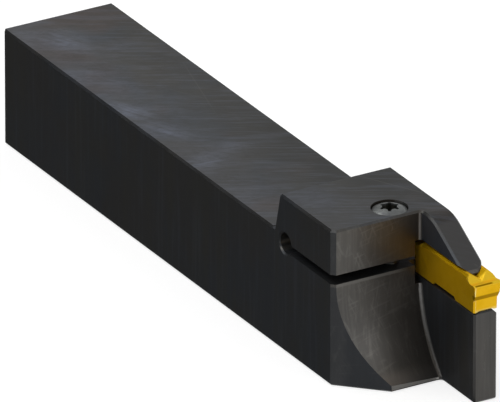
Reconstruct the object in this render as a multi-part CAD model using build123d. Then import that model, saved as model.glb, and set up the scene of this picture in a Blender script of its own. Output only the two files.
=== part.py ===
from build123d import *
import math
import os

# A square-shank grooving tool holder with its clamp screw and a double-ended grooving insert.
# Sizes are in millimetres. +X points to the cutting edge, +Y to the blade side and +Z up.
# The origin is on the underside of the shank, on its centre line, halfway along the tool.

# Shank
overall_length = 150.0      # back end of the shank to the cutting edge
shank_width = 25.0
shank_height = 25.0         # the cutting edge is at this height too
edge_break = 0.4            # 45 degree break on the outer edges of the steel

# Head
head_length = 42.8          # foot of the head's rear face to the cutting edge
head_rise = 8.15            # top of the head above the shank
head_lean = 14.0            # degrees that the rear face leans forward
foot_radius = 0.8           # relief groove at the foot of the rear face
foot_sink = 0.35            # depth of that groove in the top of the shank

# Upper jaw, with the slot that lets it bend down on the insert
jaw_setback = 20.85         # front face of the jaw behind the cutting edge
corner_cut = 0.85           # reach of the 45 degree corner face into the front of the jaw
slot_height = 2.0
slot_drop = 3.3             # floor of the slot below the cutting edge
relief_bore = 4.4           # round end of the slot, where the jaw bends
relief_setback = 39.0       # axis of that bore behind the cutting edge
relief_offset = 0.55        # axis of that bore above the middle of the slot
relief_rim = 0.3            # break on the bore's two mouths

# Scooped front below the jaw
scoop_radius = 28.0
scoop_drop = 0.4            # top of the scoop below the slot, at the left side
scoop_roll = 3.0            # degrees that the scoop falls towards the blade
lip_setback = 13.0          # flat lip at the foot of the scoop, behind the cutting edge
root_radius = 0.7           # fillet where blade and finger grow out of the body

# Blade under the insert and finger above it
blade_thickness = 5.2
blade_setback = 0.6         # front of the blade behind the cutting edge
finger_slope = 30.0         # degrees that the top of the finger falls
finger_knee = 16.9          # start of that slope behind the cutting edge
knee_radius = 9.0
finger_setback = 4.75       # nose of the finger behind the cutting edge
nose_inner_radius = 1.2     # corner of the nose on the body side, seen from above
nose_outer_radius = 2.2     # corner of the nose on the outer side

# Double-ended insert
insert_length = 24.0
cutting_width = 6.0
corner_radius = 0.4         # corners of the cutting edges, seen from above
insert_overhang = 0.5       # side of the cutting edge beyond the side of the shank
body_width = 5.3
insert_depth = 5.75         # underside below the cutting edge
plateau_rise = 1.3          # clamped top above the cutting edge
plateau_break = 0.45        # break along the sides of the clamped top
plateau_setback = 3.6       # end of the clamped top behind the cutting edge
valley_setback = 2.1        # lowest line of the chip former behind the cutting edge
valley_rise = 0.08
valley_radius = 1.5
crest_setback = 0.65        # small ridge just behind the cutting edge
crest_rise = 0.3
land_height = 2.05          # relief face directly under the cutting edge
land_angle = 7.0
undercut_height = 0.9
undercut_depth = 0.47
end_draft = 0.12            # lean of the lower end face over its height
side_land = 1.2             # length of the cutting width's parallel sides
side_taper = 4.4            # length over which it then narrows to the body
end_break = 0.3             # break on the upright edges below the undercut
groove_depth = 1.2          # V-groove along the clamped top
groove_flank = 36.0         # degrees of its flanks from level
belly_length = 8.4          # hollow middle of the underside
belly_rise = 0.6
arch_rise = 0.22            # shallow channel along the underside
arch_width = 2.6            # flat top of that channel
arch_flank = 20.0           # degrees of its flanks from level

# Pocket that holds the insert
seat_bevel = 1.2            # 45 degree bevel along the outer edge of the seat
seat_clearance = 0.05       # left between insert and steel at the seat, the ridge and the stop
pocket_side = 1.4           # free room beside the insert's body
pocket_floor = 1.45         # free room under the insert beside the blade
pocket_roof = 0.7           # free room over the insert beside the ridge
ridge_flat = 1.0            # flat tip of the clamping ridge
roof_back = 0.6             # free room behind the unused cutting edge

# Clamp screw, M4 with a domed cylindrical head and a six-lobe recess
screw_setback = 4.15        # axis behind the front face of the jaw
screw_side = 2.65           # axis off the centre line, towards the blade
head_diameter = 7.0
head_height = 3.8           # of the cylindrical part of the head
head_sink = 0.5             # top of that part below the top of the jaw
dome_radius = 7.0           # of the head's domed top
head_gap = 0.2              # between screw head and counterbore, all round
screw_diameter = 4.0
screw_pitch = 0.7
screw_length = 16.0
shank_gap = 0.25            # between screw and clearance hole, all round
thread_gap = 0.04           # between screw and tapped hole, all round
tap_reserve = 2.0           # depth of the tapped hole beyond the tip of the screw
drill_point = 118.0         # degrees
screw_break = 0.3
lobe_circle = 3.95          # across the points of the six-lobe recess
lobe_waist = 2.85           # across its waist
lobe_hollow = 0.86          # radius of the ribs between its points
lobe_depth = 2.0            # below the rim of the dome

# Places worked out from the sizes above
edge_x = overall_length / 2
back_x = -overall_length / 2
right_y = shank_width / 2
left_y = -shank_width / 2
edge_z = shank_height
head_top = shank_height + head_rise
foot_x = edge_x - head_length
jaw_x = edge_x - jaw_setback
lip_x = edge_x - lip_setback
blade_x = edge_x - blade_setback
nose_x = edge_x - finger_setback
knee_x = edge_x - finger_knee
blade_y = right_y - blade_thickness
slot_floor = edge_z - slot_drop
slot_roof = slot_floor + slot_height
relief_x = edge_x - relief_setback
relief_z = (slot_floor + slot_roof) / 2 + relief_offset
insert_x = edge_x - insert_length / 2
insert_y = right_y + insert_overhang - cutting_width / 2
insert_bottom = edge_z - insert_depth
plateau_z = edge_z + plateau_rise
pocket_y = insert_y - body_width / 2 - pocket_side
pocket_bottom = insert_bottom - pocket_floor
pocket_top = plateau_z + pocket_roof
land_back = land_height * math.tan(math.radians(land_angle))
end_face = land_back + undercut_depth + end_draft
stop_x = edge_x - insert_length + land_back + undercut_depth - seat_clearance
roof_x = edge_x - insert_length - roof_back
screw_x = jaw_x - screw_setback
screw_y = screw_side
head_face = head_top - head_sink
head_seat = head_face - head_height
screw_tip = head_seat - screw_length
thread_core = screw_diameter - 0.65 * screw_pitch
beyond = 5.0                # how far cutting shapes reach past the steel


def across(outline, y_from, y_to):
    """A prism along Y with its outline given as (X, Z)."""
    return Pos(0, y_to, 0) * extrude(Plane.XZ * outline, amount=y_to - y_from)


def along(outline, x_from, x_to):
    """A prism along X with its outline given as (Y, Z)."""
    return Pos(x_from, 0, 0) * extrude(Plane.YZ * outline, amount=x_to - x_from)


def block(x_from, x_to, y_from, y_to, z_from, z_to):
    """A box between two corners."""
    size = (x_to - x_from, y_to - y_from, z_to - z_from)
    return Pos(x_from, y_from, z_from) * Box(*size, align=(Align.MIN, Align.MIN, Align.MIN))


def upright(x, y, z_from, z_to, diameter):
    """A round bar along Z."""
    bar = Cylinder(diameter / 2, z_to - z_from, align=(Align.CENTER, Align.CENTER, Align.MIN))
    return Pos(x, y, z_from) * bar


def rounded(outline, radius, *points):
    """An outline with the corners nearest to the given points rounded."""
    corners = [outline.vertices().sort_by_distance((x, y, 0))[0] for x, y in points]
    return fillet(corners, radius)


def nearest_edge(solid, x, y, z):
    """The edge whose middle lies nearest to a point."""
    return solid.edges().sort_by(lambda edge: (edge.center() - Vector(x, y, z)).length)[0]


def holder_blank():
    """Side view of the whole tool, as wide as the shank."""
    lean = math.tan(math.radians(head_lean))
    fall = math.tan(math.radians(finger_slope))
    split_z = (slot_floor + slot_roof) / 2
    outline = Polygon(
        (back_x, 0),
        (blade_x, 0),
        (blade_x, split_z),
        (nose_x, split_z),
        (nose_x, head_top - fall * (nose_x - knee_x)),
        (knee_x, head_top),
        (foot_x + lean * head_rise, head_top),
        (foot_x, shank_height),
        (back_x, shank_height),
        align=None,
    )
    return across(rounded(outline, knee_radius, (knee_x, head_top)), left_y, right_y)


def front_clearance():
    """What is milled away in front of the body, up to the side of the blade."""
    reach = 2 * shank_width
    high = Polygon((0, 0), (reach, 0), (reach, 2 * head_top), (0, 2 * head_top), align=None)
    scoop = Pos(scoop_radius, 0) * Circle(scoop_radius)
    tool = across(high, -reach, reach) + across(scoop, -reach, reach)
    tool = Pos(jaw_x, left_y, slot_floor - scoop_drop) * Rot(-scoop_roll, 0, 0) * tool
    tool += block(lip_x, edge_x + beyond, -reach, reach, -beyond, head_top)
    return tool & block(back_x, edge_x + beyond, -reach, blade_y, -beyond, head_top + beyond)


def corner_clearance():
    """The 45 degree face on the left front corner, over the full height."""
    start = jaw_x - corner_cut
    reach = lip_x + edge_break - start
    wedge = Polygon(
        (start - beyond, left_y - beyond),
        (start + reach, left_y - beyond),
        (start + reach, left_y + reach),
        align=None,
    )
    return Pos(0, 0, -beyond) * extrude(wedge, amount=head_top + 2 * beyond)


def root_edges(steel):
    """Inner corners where the blade and the finger meet the scoop, the lip and the jaw."""
    beside_blade = steel.edges().filter_by(lambda edge: abs(edge.center().Y - blade_y) < 0.001)
    jaw_root = beside_blade.filter_by(lambda edge: abs(edge.center().X - jaw_x) < 0.001)
    below = beside_blade.filter_by(lambda edge: 0.001 < edge.center().Z < slot_floor)
    return jaw_root + below.filter_by(lambda edge: jaw_x + 0.001 < edge.center().X < lip_x + 0.001)


def top_edges(steel):
    """Outer edges of the head's top and of the finger's slope, without the rear one."""
    rear_x = foot_x + head_rise * math.tan(math.radians(head_lean))
    edges = []
    for face in steel.faces():
        if face.normal_at().Z > 0.5 and face.center().Z > edge_z + 0.01:
            edges += face.edges()
    outer = [edge for edge in edges if sum(edge.is_same(other) for other in edges) == 1]
    return [edge for edge in outer if abs(edge.center().X - rear_x) > 0.01]


def broken_edges(steel):
    """Break the outer edges: the underside first, then shank, blade front and head."""
    shank_middle = (back_x + foot_x) / 2
    steel = chamfer(steel.edges().filter_by(lambda edge: abs(edge.center().Z) < 0.001), edge_break)
    uprights = [
        nearest_edge(steel, blade_x, blade_y, slot_floor / 2),
        nearest_edge(steel, blade_x, right_y, slot_floor / 2),
        nearest_edge(steel, back_x, left_y, shank_height / 2),
        nearest_edge(steel, back_x, right_y, shank_height / 2),
    ]
    steel = chamfer(uprights, edge_break)
    shank_sides = [
        nearest_edge(steel, shank_middle, left_y, shank_height),
        nearest_edge(steel, shank_middle, right_y, shank_height),
    ]
    steel = chamfer(shank_sides, edge_break)
    return chamfer(top_edges(steel), edge_break)


def foot_groove():
    """Round relief groove along the foot of the head's rear face."""
    lean = math.radians(head_lean)
    rise = foot_radius - foot_sink
    centre_x = foot_x + rise * math.tan(lean) - foot_radius / math.cos(lean)
    groove = Pos(centre_x, shank_height + rise) * Circle(foot_radius)
    return across(groove, left_y - beyond, right_y + beyond)


def jaw_slot():
    """The slot under the jaw, open at both sides and in front."""
    side = left_y - beyond, right_y + beyond
    return block(relief_x, edge_x + beyond, *side, slot_floor, slot_roof)


def seat_height(offset):
    """Height of the blade's seat at a distance from the middle of the insert."""
    top = insert_bottom + arch_rise - seat_clearance
    return top - max(0, abs(offset) - arch_width / 2) * math.tan(math.radians(arch_flank))


def mouth_end_view():
    """Outline of the room between the seat on the blade and the ridge under the finger."""
    flank = math.tan(math.radians(groove_flank))
    lift = seat_clearance / math.cos(math.radians(groove_flank))
    tip_z = plateau_z - groove_depth + lift + flank * ridge_flat / 2
    ridge_root = ridge_flat / 2 + (pocket_top - tip_z) / flank
    bevel_y = right_y - seat_bevel
    outside = right_y + beyond
    return Polygon(
        (blade_y, seat_height(blade_y - insert_y)),
        (insert_y - arch_width / 2, seat_height(0)),
        (bevel_y, seat_height(bevel_y - insert_y)),
        (outside, seat_height(bevel_y - insert_y) - (outside - bevel_y)),
        (outside, pocket_top),
        (insert_y + ridge_root, pocket_top),
        (insert_y + ridge_flat / 2, tip_z),
        (insert_y - ridge_flat / 2, tip_z),
        (insert_y - ridge_root, pocket_top),
        (blade_y, pocket_top),
        align=None,
    )


def insert_pocket():
    """The mouth and the room beside it, with a stop below the slot and clearance above it."""
    room = along(mouth_end_view(), roof_x, edge_x + beyond)
    beside = roof_x, jaw_x + beyond, pocket_y, blade_y
    room += block(*beside, pocket_bottom, pocket_top)
    return room - block(roof_x - beyond, stop_x, left_y, right_y + 2 * beyond, 0, slot_floor)


def screw_holes():
    """Counterbore and clearance hole in the jaw, blind tapped hole below the slot."""
    tap_diameter = thread_core + 2 * thread_gap
    tap_bottom = screw_tip - tap_reserve
    point = tap_diameter / 2 / math.tan(math.radians(drill_point / 2))
    holes = upright(screw_x, screw_y, head_seat, head_top + beyond, head_diameter + 2 * head_gap)
    holes += upright(screw_x, screw_y, slot_floor, head_seat, screw_diameter + 2 * shank_gap)
    holes += upright(screw_x, screw_y, tap_bottom, slot_floor, tap_diameter)
    holes += Pos(screw_x, screw_y, tap_bottom - point / 2) * Cone(0, tap_diameter / 2, point)
    return holes


def holder_body():
    """Shank, head with its flexing jaw and finger, and blade, machined from one bar."""
    steel = holder_blank() - front_clearance()
    steel = fillet(nearest_edge(steel, nose_x, blade_y, edge_z), nose_inner_radius)
    steel = fillet(nearest_edge(steel, nose_x, right_y, edge_z), nose_outer_radius)
    steel = fillet(root_edges(steel), root_radius)
    steel = broken_edges(steel - corner_clearance())
    bore = across(Pos(relief_x, relief_z) * Circle(relief_bore / 2), left_y, right_y)
    steel -= bore
    rims = [
        nearest_edge(steel, relief_x, left_y, relief_z),
        nearest_edge(steel, relief_x, right_y, relief_z),
    ]
    steel = chamfer(rims, relief_rim)
    return steel - foot_groove() - jaw_slot() - insert_pocket() - screw_holes()


def six_lobes():
    """Outline of the recess, with two of its points straight across the tool."""
    outline = Circle(lobe_circle / 2)
    for step in range(6):
        outline -= Rot(0, 0, 60 * step) * Pos(lobe_waist / 2 + lobe_hollow, 0) * Circle(lobe_hollow)
    return outline


def clamp_screw():
    """Domed head with its recess, and a core as thick as the middle of the thread."""
    dome_drop = math.sqrt(dome_radius**2 - head_diameter**2 / 4)
    head = upright(screw_x, screw_y, head_seat, head_face + dome_radius, head_diameter)
    head &= Pos(screw_x, screw_y, head_face - dome_drop) * Sphere(dome_radius)
    shank = upright(screw_x, screw_y, screw_tip, head_seat, thread_core)
    shank = chamfer(shank.edges().sort_by(Axis.Z)[0], screw_break)
    recess = extrude(six_lobes(), amount=lobe_depth + dome_radius)
    return head + shank - Pos(screw_x, screw_y, head_face - lobe_depth) * recess


def insert_side_view():
    """Outline along the insert, the same at both ends."""
    ramp = belly_length / 2 - belly_rise
    front = [
        (ramp, insert_bottom + belly_rise),
        (belly_length / 2, insert_bottom),
        (insert_length / 2 - end_face, insert_bottom),
        (insert_length / 2 - land_back - undercut_depth, edge_z - land_height - undercut_height),
        (insert_length / 2 - land_back, edge_z - land_height),
        (insert_length / 2, edge_z),
        (insert_length / 2 - crest_setback, edge_z + crest_rise),
        (insert_length / 2 - valley_setback, edge_z + valley_rise),
        (insert_length / 2 - plateau_setback, plateau_z),
    ]
    rear = [(-x, z) for x, z in reversed(front)]
    valley_x = insert_length / 2 - valley_setback
    outline = Polygon(*front, *rear, align=None)
    valleys = (valley_x, edge_z + valley_rise), (-valley_x, edge_z + valley_rise)
    return rounded(outline, valley_radius, *valleys)


def insert_top_view():
    """Outline from above: full cutting width at both ends, narrower between them."""
    end = insert_length / 2
    waist = end - side_land - side_taper
    right = [
        (end, cutting_width / 2),
        (end - side_land, cutting_width / 2),
        (waist, body_width / 2),
        (-waist, body_width / 2),
        (side_land - end, cutting_width / 2),
        (-end, cutting_width / 2),
    ]
    left = [(x, -y) for x, y in reversed(right)]
    corners = [(x, y) for x in (end, -end) for y in (cutting_width / 2, -cutting_width / 2)]
    return rounded(Polygon(*right, *left, align=None), corner_radius, *corners)


def insert_end_view():
    """Outline from the front: side relief below the edge, broken corners above it."""
    half = body_width / 2
    right = [
        (half, insert_bottom),
        (half, edge_z - land_height - undercut_height),
        (cutting_width / 2, edge_z),
        (cutting_width / 2, edge_z + crest_rise),
        (half, plateau_z - plateau_break),
        (half - plateau_break, plateau_z),
    ]
    left = [(-y, z) for y, z in reversed(right)]
    return Polygon(*right, *left, align=None)


def grooving_insert():
    """Double-ended insert with a V-groove on top and a shallow channel underneath."""
    height = insert_depth + plateau_rise
    body = across(insert_side_view(), -cutting_width, cutting_width)
    body &= Pos(0, 0, insert_bottom) * extrude(insert_top_view(), amount=height)
    body &= along(insert_end_view(), -insert_length, insert_length)
    groove_half = groove_depth / math.tan(math.radians(groove_flank))
    groove = Polygon(
        (0, plateau_z - groove_depth),
        (2 * groove_half, plateau_z + groove_depth),
        (-2 * groove_half, plateau_z + groove_depth),
        align=None,
    )
    groove_end = insert_length / 2 - valley_setback
    body -= along(groove, -groove_end, groove_end)
    mouth = arch_width / 2 + 2 * arch_rise / math.tan(math.radians(arch_flank))
    arch = Polygon(
        (-mouth, insert_bottom - arch_rise),
        (mouth, insert_bottom - arch_rise),
        (arch_width / 2, insert_bottom + arch_rise),
        (-arch_width / 2, insert_bottom + arch_rise),
        align=None,
    )
    body -= along(arch, -insert_length, insert_length)
    end_x = insert_length / 2 - end_face
    end_z = (insert_bottom + edge_z - land_height - undercut_height) / 2
    places = [(x, y) for x in (end_x, -end_x) for y in (body_width / 2, -body_width / 2)]
    body = chamfer([nearest_edge(body, x, y, end_z) for x, y in places], end_break)
    return Pos(insert_x, insert_y, 0) * body


os.makedirs("parts", exist_ok=True)
export_step(holder_body(), "parts/holder_body.step")
export_step(clamp_screw(), "parts/clamp_screw.step")
export_step(grooving_insert(), "parts/grooving_insert.step")
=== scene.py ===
import math
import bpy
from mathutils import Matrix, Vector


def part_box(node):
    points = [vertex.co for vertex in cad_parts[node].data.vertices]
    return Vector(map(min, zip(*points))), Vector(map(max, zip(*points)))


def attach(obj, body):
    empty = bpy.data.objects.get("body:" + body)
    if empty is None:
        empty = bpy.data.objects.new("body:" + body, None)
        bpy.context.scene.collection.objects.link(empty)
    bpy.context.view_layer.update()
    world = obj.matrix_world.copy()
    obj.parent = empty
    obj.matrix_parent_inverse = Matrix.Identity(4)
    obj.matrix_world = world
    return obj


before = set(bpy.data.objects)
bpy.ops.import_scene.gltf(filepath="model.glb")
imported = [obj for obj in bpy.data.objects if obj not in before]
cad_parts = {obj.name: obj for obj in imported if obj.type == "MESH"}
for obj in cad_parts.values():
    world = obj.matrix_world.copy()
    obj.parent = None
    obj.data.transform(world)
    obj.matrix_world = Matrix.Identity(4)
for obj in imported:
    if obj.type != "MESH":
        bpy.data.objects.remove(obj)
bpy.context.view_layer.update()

from types import SimpleNamespace

import bmesh
import bpy
from mathutils import Matrix, Vector

# Looks of a square-shank grooving tool holder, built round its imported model. Units are metres.
# +X points to the cutting edge, +Y to the blade side and +Z up; the holder stands on Z = 0.

MM = 0.001
WHITE = (1, 1, 1, 1)

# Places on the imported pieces
HOLDER_LOW, HOLDER_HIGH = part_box("holder_body")
SCREW_LOW, SCREW_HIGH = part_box("clamp_screw")
INSERT_LOW, INSERT_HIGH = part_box("grooving_insert")
BLADE_FRONT = HOLDER_HIGH.x
HEAD_FRONT = BLADE_FRONT - 20.85 * MM
LIP_TOP = 1.8 * MM
SLOT_FLOOR = 21.7 * MM
SLOT_ROOF = 23.7 * MM
SLOT_BACK = 32.0 * MM
INSERT_MIDDLE = (INSERT_LOW.x + INSERT_HIGH.x) / 2
INSERT_HALF = (INSERT_HIGH.x - INSERT_LOW.x) / 2
UNDERCUT_TOP = (25.0 - 2.05) * MM
SCREW_AXIS = (SCREW_LOW + SCREW_HIGH) / 2
SCREW_NECK_TOP = SCREW_HIGH.z - 3.8 * MM
SCREW_DOME_RADIUS = 7.0 * MM
SOCKET_RADIUS = 2.0 * MM

# Screw thread
THREAD_CORE = 1.7725 * MM
THREAD_CREST = 2.0 * MM
THREAD_PITCH = 0.7 * MM
THREAD_BOTTOM = 21.95 * MM
THREAD_TOP = 28.3 * MM
THREAD_SIZES = {
    "Core radius": THREAD_CORE,
    "Ridge height": THREAD_CREST - THREAD_CORE,
    "Pitch": THREAD_PITCH,
    "Turns": (THREAD_TOP - THREAD_BOTTOM) / THREAD_PITCH,
    "Lowest": THREAD_BOTTOM,
    "Axis X": SCREW_AXIS.x,
    "Axis Y": SCREW_AXIS.y,
}
STEPS_PER_TURN = 36
RIDGE_CORNERS = 4
WELD_DISTANCE = 0.0001 * MM

# Camera
VIEW_AZIMUTH = math.radians(59.9)
VIEW_ELEVATION = math.radians(25.14)
VIEW_DISTANCE = 3.647
VIEW_AIM = Vector((-4.73, 3.24, 12.18)) * MM
VIEW_LENS = 1340.0
VIEW_NEAR = 0.1
VIEW_FAR = 50.0

# Lamps: name, place, size and power; all look at the middle of the holder
LAMP_AIM = (0, 0, 0.02)
LAMPS = (
    ("key", (-0.3, -2.4, 2.3), 3.4, 48.0),
    ("top", (-1.4, -0.9, 2.4), 1.5, 15.0),
    ("fill", (2.4, 0.9, 1.4), 1.8, 10.0),
)

# Levels of light that the metal mirrors
PAPER_LEVEL = 1.0
SKY_LEVEL = 0.54
HORIZON_LEVEL = 0.40
FLAG_LEVEL = 0.08
FLAG_FRONT_LEVEL = 0.35

# Sky: the direction that it lies in, and where each of its parts begins and ends
SKY_DIRECTION = Vector((0.20, 0.50, 0.84)).normalized()
SKY_EDGE = (0.10, 0.42)
HORIZON_EDGE = (0.36, 0.10)
BEHIND_EDGE = (-0.05, 0.30)

# Floor: how much it glows to what sees it, how much more to the camera, and its own grey
FLOOR_REACH = 10
FLOOR_HEIGHT = -0.05 * MM
FLOOR_GLOW = 0.62
FLOOR_CAMERA_GLOW = 0.12
FLOOR_GREY = (0.40, 0.40, 0.40, 1)

# Flags: dark sheets on the floor to the left of the holder, at its corner and beside the blade, painted shade
# that only reflections see
FLAG_HEIGHT = -0.02 * MM
BESIDE_HOLDER = HOLDER_LOW.y - 0.1 * MM
BESIDE_BLADE = -5 * MM
UNDER_BLADE = 7.1 * MM
LEFT_FLAG = ((-3, -4), (2, BESIDE_HOLDER))
CORNER_FLAG = ((HEAD_FRONT - 2 * MM, BESIDE_HOLDER), (HEAD_FRONT + 16 * MM, BESIDE_BLADE))
BLADE_FLAG = ((BLADE_FRONT - 12.8 * MM, BESIDE_BLADE), (BLADE_FRONT + 1 * MM, UNDER_BLADE))

# The first two flags pale in two steps, along this direction and measured from the holder's corner
PALING_DIRECTION = Vector((0.866, 0.5, 0.0))
HOLDER_CORNER = Vector((HEAD_FRONT, HOLDER_LOW.y, 0)).dot(PALING_DIRECTION)
PALING_STEPS = (
    (HOLDER_CORNER - 3 * MM, HOLDER_CORNER, FLAG_FRONT_LEVEL - FLAG_LEVEL),
    (HOLDER_CORNER + 11 * MM, HOLDER_CORNER + 14 * MM, PAPER_LEVEL - FLAG_FRONT_LEVEL),
)

# Insert finish, painted shade and highlights included
GOLD = (0.86, 0.50, 0.016, 1)
GOLD_SHADE = (0.80, 0.455, 0.008, 1)
# Painted shade for the undercut and the broken edges
GOLD_PAINTED_SHADE = (0.43, 0.25, 0.001, 1)
# Painted highlight on the end faces' edges
GOLD_PAINTED_HIGHLIGHT = (1.0, 0.88, 0.36, 1)
# Painted shade in the crease behind each cutting edge
GOLD_CREASE_SHADE = (0.36, 0.19, 0.001, 1)
GOLD_RAKE = (1.0, 0.645, 0.034, 1)
# Edge wear, partly a painted highlight
GOLD_WEAR_AND_HIGHLIGHT = (0.95, 0.66, 0.12, 1)
GOLD_SHEEN = (1.0, 0.72, 0.12, 1)

# Screw finish
TURNED_STEEL = (0.195, 0.205, 0.20, 1)
STAINED_STEEL = (0.14, 0.145, 0.15, 1)
# Painted shade in the key socket
SOCKET_SHADE = (0.085, 0.085, 0.070, 1)
SHANK_STEEL = (0.10, 0.10, 0.10, 1)
SCREW_RING_PITCH = 0.14 * MM

# Holder finish: oxides, bare greys and tints, with painted shade and highlights among them
WARM_OXIDE = (0.077, 0.073, 0.065, 1)
COOL_OXIDE = (0.067, 0.075, 0.085, 1)
PALE_OXIDE = (0.200, 0.224, 0.292, 1)
SIDE_OXIDE = (0.071, 0.075, 0.083, 1)
DARK_OXIDE = (0.048, 0.048, 0.046, 1)
# Darkening towards the front and the right of the tops
FRONT_RIGHT_DARK_TONE = (0.033, 0.034, 0.033, 1)
BROWN_OXIDE = (0.094, 0.073, 0.065, 1)
OLIVE_OXIDE = (0.086, 0.083, 0.064, 1)
CORNER_BLUE = (0.074, 0.084, 0.100, 1)
# Painted shade on the front beside the blade
BLADE_SHADE = (0.046, 0.036, 0.026, 1)
BARE_GREY = (0.084, 0.079, 0.073, 1)
# Painted shade on chamfers, inside the slot and along the seam under the insert
PAINTED_DEEP_SHADE = (0.022, 0.023, 0.024, 1)
# Painted highlight on the root fillet
FILLET_HIGHLIGHT = (0.200, 0.195, 0.190, 1)
FOOT_BROWN = (0.170, 0.150, 0.132, 1)
# Painted reflection on the lip at the foot of the scoop
LIP_REFLECTION = (0.62, 0.60, 0.57, 1)
SLOPE_GREY = (0.086, 0.084, 0.083, 1)
# Pale brushed steel, also a painted highlight on the slot's lower lip
PALE_BRUSHED_AND_HIGHLIGHT = (0.150, 0.145, 0.134, 1)

# Directions of grinding on the tops, in plan
GRINDING_ANGLE = math.radians(60)
BACK_SWEEP = math.radians(26)
FRONT_SWEEP = math.radians(84)

# Paler patches on the tops: centre, size, strength and the sweep they are drawn out along
PALE_PATCHES = (
    ((-0.0290, -0.0104, 0.025), (0.0095, 0.0042, 0.01), 1.0, BACK_SWEEP),
    ((-0.0180, -0.0090, 0.025), (0.0100, 0.0045, 0.01), 0.8, BACK_SWEEP),
    ((-0.0440, -0.0095, 0.025), (0.0120, 0.0070, 0.01), 0.6, BACK_SWEEP),
    ((-0.0640, -0.0060, 0.025), (0.0130, 0.0100, 0.01), 0.5, BACK_SWEEP),
    ((-0.0010, -0.0078, 0.025), (0.0085, 0.0062, 0.01), 1.0, FRONT_SWEEP),
    ((-0.0030, -0.0010, 0.025), (0.0100, 0.0070, 0.01), 0.45, FRONT_SWEEP),
    ((0.0190, -0.0105, 0.025), (0.0080, 0.0080, 0.01), 0.5, FRONT_SWEEP),
    ((0.0400, -0.0085, 0.033), (0.0080, 0.0070, 0.004), 0.6, FRONT_SWEEP),
    ((-0.0570, 0.0040, 0.025), (0.0060, 0.0040, 0.01), 0.35, FRONT_SWEEP),
)

# Scratches: the turn of each set and the shift that keeps the sets apart
FRONT_SCRATCHES = (
    (math.radians(14), (0.1, 0, 0)),
    (math.radians(-22), (0.4, 0, 0)),
    (math.radians(78), (0.7, 0, 0)),
)
LONG_SCRATCHES = (
    (math.radians(-28), (0.1, 0.2, 0)),
    (math.radians(15), (0.5, 0.1, 0.3)),
)


class Nodes:
    """Short ways to add nodes to a tree and to join them."""

    def __init__(self, tree):
        self.tree = tree

    def feed(self, socket, value):
        """Link an output to a socket, or set the socket to a plain value."""
        if isinstance(value, bpy.types.NodeSocket):
            self.tree.links.new(value, socket)
        else:
            socket.default_value = value

    def node(self, kind, inputs=None, **settings):
        """A node with its settings and its named inputs."""
        made = self.tree.nodes.new(kind)
        for key, value in settings.items():
            setattr(made, key, value)
        for name, value in (inputs or {}).items():
            self.feed(made.inputs[name], value)
        return made

    def calculate(self, operation, first, second=0.0):
        """One step of arithmetic; steps that take one value leave the second unused."""
        made = self.node("ShaderNodeMath", operation=operation)
        self.feed(made.inputs[0], first)
        self.feed(made.inputs[1], second)
        return made.outputs[0]

    def all_of(self, *shares):
        """The product of several shares."""
        product = shares[0]
        for share in shares[1:]:
            product = self.calculate("MULTIPLY", product, share)
        return product

    def parts_of(self, vector):
        """The three components of a vector."""
        return self.node("ShaderNodeSeparateXYZ", {"Vector": vector}).outputs

    def along(self, vector, direction):
        """How far a vector reaches in a direction."""
        made = self.node("ShaderNodeVectorMath", operation="DOT_PRODUCT")
        self.feed(made.inputs[0], vector)
        self.feed(made.inputs[1], direction)
        return made.outputs["Value"]

    def span(self, value, low, high, to_low=0.0, to_high=1.0):
        """A smooth step of a value between two limits."""
        limits = {"From Min": low, "From Max": high, "To Min": to_low, "To Max": to_high, "Value": value}
        return self.node("ShaderNodeMapRange", limits, interpolation_type="SMOOTHSTEP").outputs[0]


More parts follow.
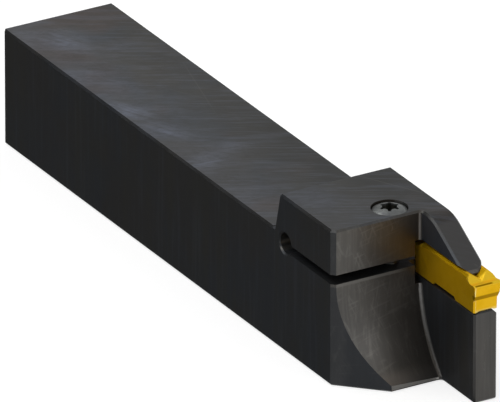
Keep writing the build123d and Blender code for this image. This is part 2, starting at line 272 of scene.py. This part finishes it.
class Finish(Nodes):
    """A node-built finish: its material, its shader and ways to draw marks on a piece."""

    def __init__(self, name):
        self.material = bpy.data.materials.new(name)
        self.material.use_nodes = True
        super().__init__(self.material.node_tree)
        self.shader = self.tree.nodes["Principled BSDF"]
        coordinates = self.node("ShaderNodeTexCoord")
        self.place = coordinates.outputs["Object"]
        self.normal = coordinates.outputs["Normal"]

    def turned(self, angle, axis="Z_AXIS"):
        """Object coordinates turned about one axis, so that marks can be drawn at a slant."""
        inputs = {"Angle": angle, "Vector": self.place}
        return self.node("ShaderNodeVectorRotate", inputs, rotation_type=axis).outputs[0]

    def stretched(self, scale, shift=(0, 0, 0), place=None):
        """Coordinates scaled along each axis, for long marks."""
        inputs = {"Scale": scale, "Location": shift, "Vector": place or self.place}
        return self.node("ShaderNodeMapping", inputs).outputs[0]

    def noise(self, vector, scale=1.0, detail=3.0, roughness=0.5, warp=0.0):
        """A soft irregular pattern, from none to one."""
        inputs = {
            "Vector": vector, "Scale": scale, "Detail": detail, "Roughness": roughness,
            "Distortion": warp}
        return self.node("ShaderNodeTexNoise", inputs).outputs["Fac"]

    def blend(self, share, below, above):
        """One colour over another."""
        made = self.node("ShaderNodeMix", {"Factor": share}, data_type="RGBA")
        colours = [socket for socket in made.inputs if socket.type == "RGBA"]
        self.feed(colours[0], below)
        self.feed(colours[1], above)
        return next(socket for socket in made.outputs if socket.type == "RGBA")

    def tint(self, below, colour, *where, share=1.0):
        """A share of a colour over another, where all the given masks reach."""
        reach = self.all_of(*where)
        if share < 1.0:
            reach = self.calculate("MULTIPLY", reach, share)
        return self.blend(reach, below, colour)

    def spot(self, place, centre, size):
        """A soft oval patch: one in its middle, none past its size."""
        away = self.node("ShaderNodeVectorMath", operation="SUBTRACT")
        self.feed(away.inputs[0], place)
        self.feed(away.inputs[1], centre)
        share = self.node("ShaderNodeVectorMath", operation="DIVIDE")
        self.feed(share.inputs[0], away.outputs[0])
        self.feed(share.inputs[1], size)
        length = self.node("ShaderNodeVectorMath", operation="LENGTH")
        self.feed(length.inputs[0], share.outputs[0])
        return self.span(length.outputs["Value"], 1.0, 0.0)

    def near_sharp_edges(self, radius, near, far):
        """One along sharp edges, none on flats."""
        rounded = self.node("ShaderNodeBevel", {"Radius": radius}, samples=6)
        plain = self.node("ShaderNodeNewGeometry")
        return self.span(self.along(rounded.outputs[0], plain.outputs["True Normal"]), near, far)

    def bump(self, height, distance, strength, below=None):
        """Surface relief of a height given in shares of a distance."""
        inputs = {"Distance": distance, "Strength": strength, "Height": height}
        if below is not None:
            inputs["Normal"] = below
        return self.node("ShaderNodeBump", inputs).outputs[0]

    def shade(self, **sockets):
        """Set or link the shader's sockets; an underscore stands for a blank in a name."""
        for name, value in sockets.items():
            self.feed(self.shader.inputs[name.replace("_", " ")], value)


def holder_faces(steel):
    """Where each point of the holder lies and which way its face looks."""
    x, y, z = steel.parts_of(steel.place)
    normal_x, normal_y, normal_z = steel.parts_of(steel.normal)
    sideways = steel.calculate("ABSOLUTE", normal_y)
    return SimpleNamespace(
        x=x, y=y, z=z, normal_x=normal_x, normal_y=normal_y, normal_z=normal_z, sideways=sideways,
        up=steel.span(normal_z, 0.6, 0.95),
        level=steel.span(normal_z, 0.2, 0.4),
        front=steel.all_of(steel.span(normal_x, 0.25, 0.6), steel.span(normal_z, 0.80, 0.60)),
        back=steel.span(normal_x, -0.6, -0.9),
        side=steel.span(sideways, 0.7, 0.95),
    )


def swept_patches(steel):
    """Pale patches, each drawn out along the sweep it was ground in."""
    sweeps = {}
    patches = None
    for place, size, strength, angle in PALE_PATCHES:
        if angle not in sweeps:
            swept_place = steel.turned(-angle)
            fine = steel.stretched((110, 1400, 100), place=swept_place)
            fine = steel.noise(fine, detail=4.0, roughness=0.65)
            broad = steel.stretched((60, 460, 60), place=swept_place)
            broad = steel.noise(broad, detail=4.0, roughness=0.6)
            streaks = steel.calculate("ADD", steel.calculate("MULTIPLY", fine, 0.8), broad)
            sweeps[angle] = (swept_place, steel.span(streaks, 0.74, 1.10, 0.32, 1.12))
        swept_place, streaks = sweeps[angle]
        centre = Vector(place)
        centre.rotate(Matrix.Rotation(-angle, 3, "Z"))
        patch = steel.all_of(steel.spot(swept_place, centre, size), strength, streaks)
        patches = patch if patches is None else steel.calculate("MAXIMUM", patches, patch)
    return patches


def ground_tops(steel, face, oxide, ground_place, lines):
    """Tops: paler patches, darker towards the front and the right, brown stains and grinding lines."""
    oxide = steel.tint(oxide, PALE_OXIDE, swept_patches(steel), face.up)
    near_left = steel.span(face.y, 6 * MM, -12 * MM)
    oxide = steel.tint(oxide, PALE_OXIDE, near_left, face.up, share=0.19)
    # Darker towards the front and towards the right
    toward_front = steel.span(face.x, -70 * MM, 50 * MM)
    oxide = steel.tint(oxide, DARK_OXIDE, toward_front, face.up, share=0.55)
    near_right = steel.all_of(steel.span(face.y, -4 * MM, 12 * MM), face.up)
    oxide = steel.tint(oxide, DARK_OXIDE, near_right, share=0.5)
    before_head = steel.span(face.x, -45 * MM, 15 * MM)
    less_on_head = steel.span(face.x, 30 * MM, 34 * MM, 1.0, 0.7)
    oxide = steel.tint(oxide, FRONT_RIGHT_DARK_TONE, near_right, before_head, less_on_head, share=0.95)

    brown = steel.span(steel.noise(steel.place, scale=38.0, detail=2.0), 0.54, 0.68)
    oxide = steel.tint(oxide, BROWN_OXIDE, brown, face.up, share=0.75)
    oxide = steel.tint(oxide, PALE_OXIDE, steel.span(lines, 0.48, 0.66), face.up, share=0.18)
    mottle = steel.stretched((500, 1300, 500), (0.3, 0.1, 0), ground_place)
    mottle = steel.span(steel.noise(mottle, detail=3.0, roughness=0.7), 0.42, 0.62)
    oxide = steel.tint(oxide, DARK_OXIDE, mottle, face.up, share=0.35)
    long_lines = steel.noise(steel.stretched((45, 420, 60), place=ground_place), detail=4.0, roughness=0.6)
    oxide = steel.tint(oxide, PALE_OXIDE, steel.span(long_lines, 0.52, 0.68), face.up, share=0.13)

    # The finger's slope is plainer and neutral
    slope = steel.all_of(steel.span(face.normal_z, 0.93, 0.89), steel.span(face.normal_z, 0.78, 0.84))
    on_finger = steel.span(face.x, HEAD_FRONT - 1 * MM, HEAD_FRONT)
    return steel.tint(oxide, SLOPE_GREY, slope, on_finger, share=0.8)


def banded_sides(steel, face, oxide):
    """Sides: evener than the tops, with faint upright bands, olive and blue by turns."""
    oxide = steel.tint(oxide, SIDE_OXIDE, face.side, share=0.5)
    bands = steel.noise(steel.stretched((260, 40, 16)), detail=4.0, roughness=0.65)
    oxide = steel.tint(oxide, OLIVE_OXIDE, steel.span(bands, 0.46, 0.66), face.side, share=0.28)
    hairlines = steel.noise(steel.stretched((900, 60, 40), shift=(0.2, 0, 0)), detail=3.0)
    oxide = steel.tint(oxide, PALE_OXIDE, steel.span(hairlines, 0.52, 0.7), face.side, share=0.10)

    # The finger's left side catches more light than the long left side
    beside_jaw = steel.all_of(face.side, steel.span(face.x, HEAD_FRONT, HEAD_FRONT + 1 * MM))
    return steel.tint(oxide, PALE_OXIDE, beside_jaw, steel.span(face.z, 21 * MM, 24 * MM), share=0.22)


def brushed_front(steel, face, oxide, brushing):
    """Front: upright brushing and hand-rubbed marks over a warmer grey, with painted shade beside the blade.
    """
    brushed = steel.span(brushing, 0.42, 0.72)
    broad_brushing = steel.noise(steel.stretched((30, 420, 34), shift=(0, 0.3, 0)), detail=3.0)
    oxide = steel.tint(oxide, BARE_GREY, face.front, share=0.85)
    oxide = steel.tint(oxide, PALE_BRUSHED_AND_HIGHLIGHT, brushed, face.front, share=0.3)
    oxide = steel.tint(oxide, DARK_OXIDE, steel.span(broad_brushing, 0.5, 0.72), face.front, share=0.35)
    oxide = steel.tint(oxide, PALE_BRUSHED_AND_HIGHLIGHT, brushed, face.back, share=0.3)
    jaw_left = steel.all_of(steel.span(face.y, -5 * MM, -11 * MM), steel.span(face.z, 20 * MM, 22 * MM))
    oxide = steel.tint(oxide, PALE_BRUSHED_AND_HIGHLIGHT, face.front, jaw_left, share=0.22)
    blade_end = steel.span(face.x, BLADE_FRONT - 2 * MM, BLADE_FRONT - 1 * MM)
    oxide = steel.tint(oxide, DARK_OXIDE, face.front, blade_end, share=0.22)

    rubbed = steel.span(steel.noise(steel.place, scale=300.0, detail=3.0, warp=0.3), 0.42, 0.60)
    behind_blade_end = steel.span(face.x, BLADE_FRONT - 1 * MM, BLADE_FRONT - 3 * MM)
    rubbed = steel.all_of(rubbed, face.front, behind_blade_end)
    for turn, shift in FRONT_SCRATCHES:
        hatch = steel.noise(steel.stretched((60, 1700, 120), shift, steel.turned(turn, "X_AXIS")), detail=2.0)
        oxide = steel.tint(oxide, PALE_BRUSHED_AND_HIGHLIGHT, steel.span(hatch, 0.52, 0.70), rubbed, share=0.48)

    scoop = steel.all_of(face.front, steel.span(face.z, SLOT_ROOF, SLOT_FLOOR))
    behind_blade = steel.span(face.x, BLADE_FRONT - 5 * MM, BLADE_FRONT - 8 * MM)
    oxide = steel.tint(oxide, PALE_BRUSHED_AND_HIGHLIGHT, scoop, behind_blade, share=0.09)
    # Painted shade: the front darkened beside the blade, more so at the jaw
    near_blade = steel.all_of(steel.span(face.y, -10 * MM, 6 * MM), face.front)
    on_body = steel.span(face.x, BLADE_FRONT - 8 * MM, BLADE_FRONT - 12 * MM)
    more_at_jaw = steel.span(face.z, 18 * MM, 26 * MM, 0.48, 0.84)
    return steel.tint(oxide, BLADE_SHADE, near_blade, on_body, more_at_jaw)


def long_scratches(steel, face, oxide):
    """Few, fine and pale scratches across the tops and the front, in two directions."""
    reach = steel.calculate("MAXIMUM", face.up, face.front)
    for turn, shift in LONG_SCRATCHES:
        scratches = steel.noise(steel.stretched((14, 1300, 500), shift, steel.turned(turn)), detail=1.0)
        oxide = steel.tint(oxide, PALE_BRUSHED_AND_HIGHLIGHT, steel.span(scratches, 0.70, 0.78), reach, share=0.25)
    return oxide


def edge_wear_and_painted_light(steel, face, oxide):
    """Edges a little paler, chamfers darkened with painted shade, corners bluish, and painted highlights
    making the root fillet and the lip paler.
    """
    edges = steel.near_sharp_edges(0.15 * MM, 0.995, 0.90)
    oxide = steel.tint(oxide, PALE_BRUSHED_AND_HIGHLIGHT, edges, share=0.14)
    # Painted shade: the slanted chamfers darkened, less so on the finger
    slanted = steel.all_of(steel.span(face.sideways, 0.40, 0.52), steel.span(face.sideways, 0.92, 0.80))
    past_corner = steel.span(face.x, HEAD_FRONT + 1 * MM, HEAD_FRONT + 3 * MM)
    past_corner = steel.calculate("MAXIMUM", past_corner, face.level)
    level_x = steel.calculate("MULTIPLY", face.x, face.level)
    less_on_finger = steel.span(level_x, HEAD_FRONT, HEAD_FRONT + 1 * MM, 0.60, 0.26)
    oxide = steel.tint(oxide, PAINTED_DEEP_SHADE, slanted, past_corner, less_on_finger)

    corner = steel.all_of(
        steel.span(face.normal_y, -0.4, -0.6), steel.span(face.normal_y, -0.95, -0.85),
        steel.span(face.y, 4 * MM, 2 * MM), steel.span(face.normal_x, 0.4, 0.6))
    oxide = steel.tint(oxide, COOL_OXIDE, corner, steel.span(face.z, SLOT_FLOOR, SLOT_ROOF, 0.0, 0.55))
    oxide = steel.tint(oxide, CORNER_BLUE, corner, steel.span(face.z, SLOT_ROOF, SLOT_FLOOR, 0.0, 0.45))

    # Painted highlight on the root fillet beside the jaw, stronger lower down
    fillet = steel.all_of(
        steel.span(face.normal_y, -0.12, -0.35), steel.span(face.normal_y, -0.99, -0.93),
        steel.span(face.y, 5 * MM, 5.6 * MM), steel.span(face.x, BLADE_FRONT - 2 * MM, BLADE_FRONT - 3 * MM),
        steel.span(face.normal_z, 0.5, 0.3), steel.span(face.z, 21 * MM, 25 * MM, 0.85, 0.35))
    oxide = steel.tint(oxide, FILLET_HIGHLIGHT, fillet)

    behind_blade = steel.span(face.x, BLADE_FRONT - 5 * MM, BLADE_FRONT - 10 * MM)
    scoop_foot = steel.all_of(
        steel.span(face.z, 4.2 * MM, 2.2 * MM), steel.span(face.normal_x, 0.1, 0.3),
        steel.span(face.y, 6 * MM, -2 * MM), behind_blade, steel.span(face.sideways, 0.5, 0.3))
    oxide = steel.tint(oxide, FOOT_BROWN, scoop_foot, share=0.5)
    # Painted reflection: the lip at the foot of the scoop made pale
    lip = steel.all_of(steel.span(face.z, LIP_TOP, LIP_TOP - 0.3 * MM), steel.span(face.normal_x, 0.9, 0.98))
    return steel.tint(oxide, LIP_REFLECTION, lip, behind_blade, share=0.9)


def painted_slot_shade_and_lip_highlight(steel, face, oxide):
    """Painted shade inside the jaw's slot and along the seam under the insert; a painted highlight on the
    slot's lower lip.
    """
    # Painted shade inside the slot
    in_slot = steel.all_of(
        steel.span(face.z, SLOT_FLOOR - 0.15 * MM, SLOT_FLOOR - 0.02 * MM),
        steel.span(face.z, SLOT_ROOF + 0.15 * MM, SLOT_ROOF + 0.02 * MM),
        steel.span(face.x, SLOT_BACK, SLOT_BACK + 2 * MM), steel.span(face.sideways, 0.6, 0.3),
        steel.span(face.x, HEAD_FRONT + 1 * MM, HEAD_FRONT))
    oxide = steel.tint(oxide, PAINTED_DEEP_SHADE, in_slot, share=0.2)
    # Painted shadow along the seam under the insert
    seam = steel.all_of(
        steel.span(face.z, INSERT_LOW.z - 0.30 * MM, INSERT_LOW.z - 0.12 * MM),
        steel.span(face.z, INSERT_LOW.z + 1.2 * MM, INSERT_LOW.z + 0.9 * MM),
        steel.span(face.x, HEAD_FRONT + 1 * MM, HEAD_FRONT + 2 * MM))
    oxide = steel.tint(oxide, PAINTED_DEEP_SHADE, seam, share=0.85)
    # Painted highlight along the slot's lower front edge
    slot_lip = steel.all_of(
        steel.span(face.z, SLOT_FLOOR - 0.75 * MM, SLOT_FLOOR - 0.50 * MM),
        steel.span(face.z, SLOT_FLOOR + 0.3 * MM, SLOT_FLOOR + 0.1 * MM),
        steel.span(face.normal_x, 0.3, 0.6), steel.span(face.x, HEAD_FRONT + 2 * MM, HEAD_FRONT + 1 * MM),
        steel.span(face.y, 5 * MM, 1 * MM))
    return steel.tint(oxide, PALE_BRUSHED_AND_HIGHLIGHT, slot_lip, share=0.9)


def blackened_steel():
    """Blackened, oiled steel: clouded ground tops, banded sides and a brushed front."""
    steel = Finish("blackened_steel")
    face = holder_faces(steel)
    ground_place = steel.turned(-GRINDING_ANGLE)
    lines = steel.noise(steel.stretched((90, 1500, 100), place=ground_place), detail=4.0, roughness=0.65)
    brushing = steel.noise(steel.stretched((60, 1500, 60)), detail=4.0, roughness=0.65)

    clouds = steel.noise(steel.place, scale=55.0, detail=4.0, roughness=0.55, warp=0.4)
    oxide = steel.blend(steel.span(clouds, 0.38, 0.62), WARM_OXIDE, COOL_OXIDE)
    oxide = ground_tops(steel, face, oxide, ground_place, lines)
    oxide = banded_sides(steel, face, oxide)
    oxide = brushed_front(steel, face, oxide, brushing)
    oxide = long_scratches(steel, face, oxide)
    oxide = edge_wear_and_painted_light(steel, face, oxide)
    oxide = painted_slot_shade_and_lip_highlight(steel, face, oxide)

    # Relief of the same marks, with a fine grain under them
    side_lines = steel.noise(steel.stretched((700, 900, 60)), detail=3.0)
    grain = steel.noise(steel.place, scale=2600.0, detail=2.0)
    marks = steel.calculate("ADD", steel.all_of(lines, face.up), steel.all_of(side_lines, face.side))
    marks = steel.calculate("ADD", marks, steel.all_of(brushing, face.front))
    relief = steel.bump(marks, 0.012 * MM, 0.6)
    gloss = steel.noise(steel.place, scale=90.0, detail=4.0, warp=0.3)
    steel.shade(
        Base_Color=oxide, Normal=steel.bump(grain, 0.004 * MM, 0.5, relief),
        Roughness=steel.span(gloss, 0.3, 0.7, 0.30, 0.40), Metallic=0.80)
    return steel.material


def bright_screw_steel():
    """Turned steel of the clamp screw, with rings round its axis and painted shade in its key socket."""
    steel = Finish("bright_screw_steel")
    x, y, z = steel.parts_of(steel.stretched((1, 1, 1), shift=(-SCREW_AXIS.x, -SCREW_AXIS.y, 0)))
    radius_squared = steel.calculate("ADD", steel.all_of(x, x), steel.all_of(y, y))
    radius = steel.calculate("SQRT", radius_squared)
    rings = steel.calculate("SINE", steel.calculate("MULTIPLY", radius, 2 * math.pi / SCREW_RING_PITCH))
    stains = steel.noise(steel.place, scale=700.0, detail=4.0)
    colour = steel.blend(steel.span(stains, 0.35, 0.7), TURNED_STEEL, STAINED_STEEL)

    # The dome drops from its top as its radius grows; what lies well below it is the socket
    dome_fall = steel.all_of(radius, radius, 0.5 / SCREW_DOME_RADIUS)
    depth = steel.calculate("SUBTRACT", steel.calculate("SUBTRACT", SCREW_HIGH.z, z), dome_fall)
    sunk = steel.span(depth, 0.05 * MM, 0.35 * MM)
    near_axis = steel.span(radius, SOCKET_RADIUS + 0.2 * MM, SOCKET_RADIUS)
    # Painted shade: the key socket darkened
    colour = steel.tint(colour, SOCKET_SHADE, sunk, near_axis)
    below_head = steel.span(z, SCREW_NECK_TOP, SCREW_NECK_TOP - 0.5 * MM)
    colour = steel.tint(colour, SHANK_STEEL, below_head, share=0.6)
    steel.shade(
        Base_Color=colour, Normal=steel.bump(rings, 0.004 * MM, 0.5),
        Roughness=steel.span(stains, 0.3, 0.7, 0.34, 0.48), Metallic=0.85)
    return steel.material


def gold_coating():
    """Gold-coloured hard coating with a fine grain, brighter on its edges from wear and painted highlights,
    and darker in its folds and undercut with painted shade.
    """
    gold = Finish("gold_coating")
    x, y, z = gold.parts_of(gold.place)
    normal_x, normal_y, normal_z = gold.parts_of(gold.normal)
    facing_up = gold.span(normal_z, 0.2, 0.6)
    facing_ends = gold.span(gold.calculate("ABSOLUTE", normal_x), 0.80, 0.95)
    from_middle = gold.calculate("ABSOLUTE", gold.calculate("SUBTRACT", x, INSERT_MIDDLE))

    def behind_edge(start, end):
        """A step of the distance behind the cutting edges, from none to one."""
        return gold.span(from_middle, INSERT_HALF - start * MM, INSERT_HALF - end * MM)

    def from_left(start, end):
        """A step of the distance from the insert's left side, from none to one."""
        return gold.span(y, INSERT_LOW.y + start * MM, INSERT_LOW.y + end * MM)

    clouds = gold.noise(gold.place, scale=260.0, detail=3.0)
    colour = gold.blend(gold.span(clouds, 0.35, 0.65), GOLD, GOLD_SHADE)
    colour = gold.tint(colour, GOLD_RAKE, facing_up, behind_edge(4.2, 3.6))
    # Edge wear and painted highlight along every sharp edge
    colour = gold.tint(colour, GOLD_WEAR_AND_HIGHLIGHT, gold.near_sharp_edges(0.10 * MM, 0.995, 0.90), share=0.5)

    # End faces: painted highlights along their left and lower edges
    body_edge = gold.all_of(gold.span(z, UNDERCUT_TOP, UNDERCUT_TOP - 0.9 * MM), from_left(0.85, 0.50))
    left_edge = gold.calculate("MAXIMUM", from_left(0.50, 0.15), body_edge)
    low_edge = gold.span(z, INSERT_LOW.z + 0.75 * MM, INSERT_LOW.z + 0.10 * MM, 0.0, 0.5)
    painted_highlight_edge = gold.calculate("MAXIMUM", left_edge, low_edge)
    colour = gold.tint(colour, GOLD_PAINTED_HIGHLIGHT, painted_highlight_edge, facing_ends)

    # Painted shade, darker: the undercut, the fold line behind each cutting edge and the long broken edges
    undercut = gold.all_of(
        gold.span(z, UNDERCUT_TOP + 0.20 * MM, UNDERCUT_TOP - 0.05 * MM),
        gold.span(z, UNDERCUT_TOP - 1.05 * MM, UNDERCUT_TOP - 0.85 * MM))
    colour = gold.tint(colour, GOLD_PAINTED_SHADE, undercut, behind_edge(1.4, 1.1))
    fold = gold.all_of(behind_edge(0.60, 0.50), behind_edge(0.12, 0.22), facing_up)
    colour = gold.tint(colour, GOLD_CREASE_SHADE, fold, from_left(4.5, 3.8), from_left(0.25, 0.55))
    broken = gold.all_of(gold.span(normal_y, -0.45, -0.6), gold.span(normal_z, 0.35, 0.5))
    colour = gold.tint(colour, GOLD_PAINTED_SHADE, broken, behind_edge(3.2, 3.8), share=0.8)

    grain = gold.noise(gold.place, scale=2400.0, detail=3.0)
    gold.shade(
        Base_Color=colour, Normal=gold.bump(grain, 0.006 * MM, 0.5),
        Roughness=gold.span(clouds, 0.3, 0.7, 0.34, 0.42), Metallic=0.75,
        Specular_IOR_Level=0.15, Specular_Tint=GOLD_SHEEN)
    return gold.material


def wear(node, material):
    """Give a CAD node its finish."""
    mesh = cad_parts[node].data
    mesh.materials.clear()
    mesh.materials.append(material)


def thread_tree():
    """Geometry nodes for a screw thread: a ridge that winds round a core."""
    tree = bpy.data.node_groups.new("thread_ridge", "GeometryNodeTree")
    identifiers = {}
    for name, value in THREAD_SIZES.items():
        made = tree.interface.new_socket(name, in_out="INPUT", socket_type="NodeSocketFloat")
        made.default_value = value
        identifiers[name] = made.identifier
    made = tree.interface.new_socket("Finish", in_out="INPUT", socket_type="NodeSocketMaterial")
    identifiers["Finish"] = made.identifier
    tree.interface.new_socket("Thread", in_out="OUTPUT", socket_type="NodeSocketGeometry")

    shape = Nodes(tree)
    given = shape.node("NodeGroupInput").outputs
    height = shape.calculate("MULTIPLY", given["Pitch"], given["Turns"])
    winding = shape.node("GeometryNodeCurveSpiral", {
        "Resolution": STEPS_PER_TURN, "Rotations": given["Turns"], "Height": height,
        "Start Radius": given["Core radius"], "End Radius": given["Core radius"]})
    start = shape.node("ShaderNodeCombineXYZ", {
        "X": given["Axis X"], "Y": given["Axis Y"], "Z": given["Lowest"]})
    placed = shape.node("GeometryNodeTransform", {
        "Geometry": winding.outputs["Curve"], "Translation": start.outputs[0]})
    level = shape.node("GeometryNodeSetCurveNormal", {"Curve": placed.outputs["Geometry"]}, mode="Z_UP")
    ridge = shape.node("GeometryNodeCurvePrimitiveCircle", {
        "Resolution": RIDGE_CORNERS, "Radius": given["Ridge height"]})
    swept = shape.node("GeometryNodeCurveToMesh", {
        "Fill Caps": True, "Curve": level.outputs["Curve"], "Profile Curve": ridge.outputs["Curve"]})
    real = shape.node("GeometryNodeRealizeInstances", {"Geometry": swept.outputs["Mesh"]})
    finish = shape.node("GeometryNodeSetMaterial", {
        "Geometry": real.outputs["Geometry"], "Material": given["Finish"]})
    shape.node("NodeGroupOutput", {"Thread": finish.outputs["Geometry"]})
    return tree, identifiers


def screw_thread(material):
    """The clamp screw's thread where the slot and the clearance hole let it be seen."""
    tree, identifiers = thread_tree()
    source = bpy.data.objects.new("thread_source", bpy.data.meshes.new("thread_source"))
    bpy.context.scene.collection.objects.link(source)
    modifier = source.modifiers.new("thread", "NODES")
    modifier.node_group = tree
    for name, value in THREAD_SIZES.items():
        modifier[identifiers[name]] = value
    modifier[identifiers["Finish"]] = material
    evaluated = source.evaluated_get(bpy.context.evaluated_depsgraph_get())
    mesh = bpy.data.meshes.new_from_object(evaluated)
    bpy.data.objects.remove(source)
    solid = bmesh.new()
    solid.from_mesh(mesh)
    bmesh.ops.remove_doubles(solid, verts=solid.verts, dist=WELD_DISTANCE)
    bmesh.ops.recalc_face_normals(solid, faces=solid.faces)
    solid.to_mesh(mesh)
    solid.free()
    thread = bpy.data.objects.new("screw_thread", mesh)
    bpy.context.scene.collection.objects.link(thread)
    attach(thread, "screw")


def plane(name, low, high, height):
    """A level rectangle between two corners."""
    corners = [(low[0], low[1]), (high[0], low[1]), (high[0], high[1]), (low[0], high[1])]
    mesh = bpy.data.meshes.new(name)
    mesh.from_pydata([(x, y, height) for x, y in corners], [], [(0, 1, 2, 3)])
    made = bpy.data.objects.new(name, mesh)
    bpy.context.scene.collection.objects.link(made)
    return made


def bare_material(name):
    """A material with an empty node tree."""
    material = bpy.data.materials.new(name)
    material.use_nodes = True
    material.node_tree.nodes.clear()
    return material, Nodes(material.node_tree)


def floor_paper():
    """Pale paper that looks white to the camera and to reflections, and keeps the shadow."""
    material, paper = bare_material("floor_paper")
    paths = paper.node("ShaderNodeLightPath").outputs
    seen = paper.calculate("MAXIMUM", paths["Is Camera Ray"], paths["Is Glossy Ray"])
    seen = paper.calculate("MAXIMUM", seen, paths["Is Transmission Ray"])
    strength = paper.calculate(
        "ADD", paper.all_of(seen, FLOOR_GLOW), paper.all_of(paths["Is Camera Ray"], FLOOR_CAMERA_GLOW))
    glow = paper.node("ShaderNodeEmission", {"Color": WHITE, "Strength": strength})
    sheet = paper.node("ShaderNodeBsdfDiffuse", {"Color": FLOOR_GREY})
    both = paper.node("ShaderNodeAddShader")
    paper.feed(both.inputs[0], glow.outputs[0])
    paper.feed(both.inputs[1], sheet.outputs[0])
    paper.node("ShaderNodeOutputMaterial", {"Surface": both.outputs[0]})
    return material


def reflected_shade_sheet(name, steps):
    """A dark glowing sheet of painted shade as reflections see it, made paler by each soft step."""
    material, cloth = bare_material(name)
    level = FLAG_LEVEL
    for start, end, rise in steps:
        across = cloth.along(cloth.node("ShaderNodeTexCoord").outputs["Object"], PALING_DIRECTION)
        level = cloth.calculate("ADD", level, cloth.span(across, start, end, 0.0, rise))
    glow = cloth.node("ShaderNodeEmission", {"Strength": level})
    cloth.node("ShaderNodeOutputMaterial", {"Surface": glow.outputs[0]})
    return material


def flag(name, corners, steps=()):
    """A dark flag on the floor that only the metal sees."""
    made = plane(name, *corners, FLAG_HEIGHT)
    made.data.materials.append(reflected_shade_sheet(name, steps))
    made.visible_camera = False
    made.visible_diffuse = False
    made.visible_shadow = False


def studio_floor():
    """A pale floor with the dark flags on it."""
    floor = plane("floor", (-FLOOR_REACH, -FLOOR_REACH), (FLOOR_REACH, FLOOR_REACH), FLOOR_HEIGHT)
    floor.data.materials.append(floor_paper())
    flag("flag", LEFT_FLAG, PALING_STEPS)
    flag("corner_flag", CORNER_FLAG, PALING_STEPS)
    flag("blade_flag", BLADE_FLAG)


def studio_world():
    """Soft surroundings: white to the camera; the metal sees a pale sky behind and a dark left."""
    world = bpy.data.worlds.new("studio")
    bpy.context.scene.world = world
    world.use_nodes = True
    air = Nodes(world.node_tree)
    direction = air.node("ShaderNodeTexCoord").outputs["Generated"]
    reach = air.parts_of(direction)
    overhead = air.span(air.along(direction, SKY_DIRECTION), *SKY_EDGE, FLAG_LEVEL, SKY_LEVEL)
    near_horizon = air.span(reach["Z"], *HORIZON_EDGE, 0.0, HORIZON_LEVEL)
    behind = air.span(reach["Y"], *BEHIND_EDGE)
    level = air.calculate("ADD", overhead, air.all_of(near_horizon, behind))
    seen = air.node("ShaderNodeLightPath").outputs["Is Camera Ray"]
    to_camera = air.all_of(seen, PAPER_LEVEL)
    to_metal = air.all_of(level, air.calculate("SUBTRACT", 1.0, seen))
    background = world.node_tree.nodes["Background"]
    air.feed(background.inputs["Color"], WHITE)
    air.feed(background.inputs["Strength"], air.calculate("ADD", to_camera, to_metal))


def soft_lamp(name, place, size, power):
    """A square soft box that looks at the holder."""
    data = bpy.data.lights.new(name, "AREA")
    data.shape = "SQUARE"
    data.size = size
    data.energy = power
    lamp = bpy.data.objects.new(name, data)
    bpy.context.scene.collection.objects.link(lamp)
    lamp.location = place
    lamp.rotation_mode = "QUATERNION"
    lamp.rotation_quaternion = (Vector(LAMP_AIM) - Vector(place)).to_track_quat("-Z", "Y")
    lamp.visible_camera = False


def studio_camera():
    """A very long lens, so that the view is as good as parallel."""
    data = bpy.data.cameras.new("camera")
    data.lens = VIEW_LENS
    data.clip_start = VIEW_NEAR
    data.clip_end = VIEW_FAR
    camera = bpy.data.objects.new("camera", data)
    bpy.context.scene.collection.objects.link(camera)
    flat = math.cos(VIEW_ELEVATION)
    back = Vector((
        math.sin(VIEW_AZIMUTH) * flat, -math.cos(VIEW_AZIMUTH) * flat, math.sin(VIEW_ELEVATION)))
    camera.location = VIEW_AIM + back * VIEW_DISTANCE
    camera.rotation_mode = "QUATERNION"
    camera.rotation_quaternion = (-back).to_track_quat("-Z", "Y")
    bpy.context.scene.camera = camera


studio_camera()
studio_floor()
studio_world()
for lamp_row in LAMPS:
    soft_lamp(*lamp_row)
bpy.context.scene.view_settings.view_transform = "Standard"

wear("holder_body", blackened_steel())
screw_finish = bright_screw_steel()
wear("clamp_screw", screw_finish)
screw_thread(screw_finish)
wear("grooving_insert", gold_coating())
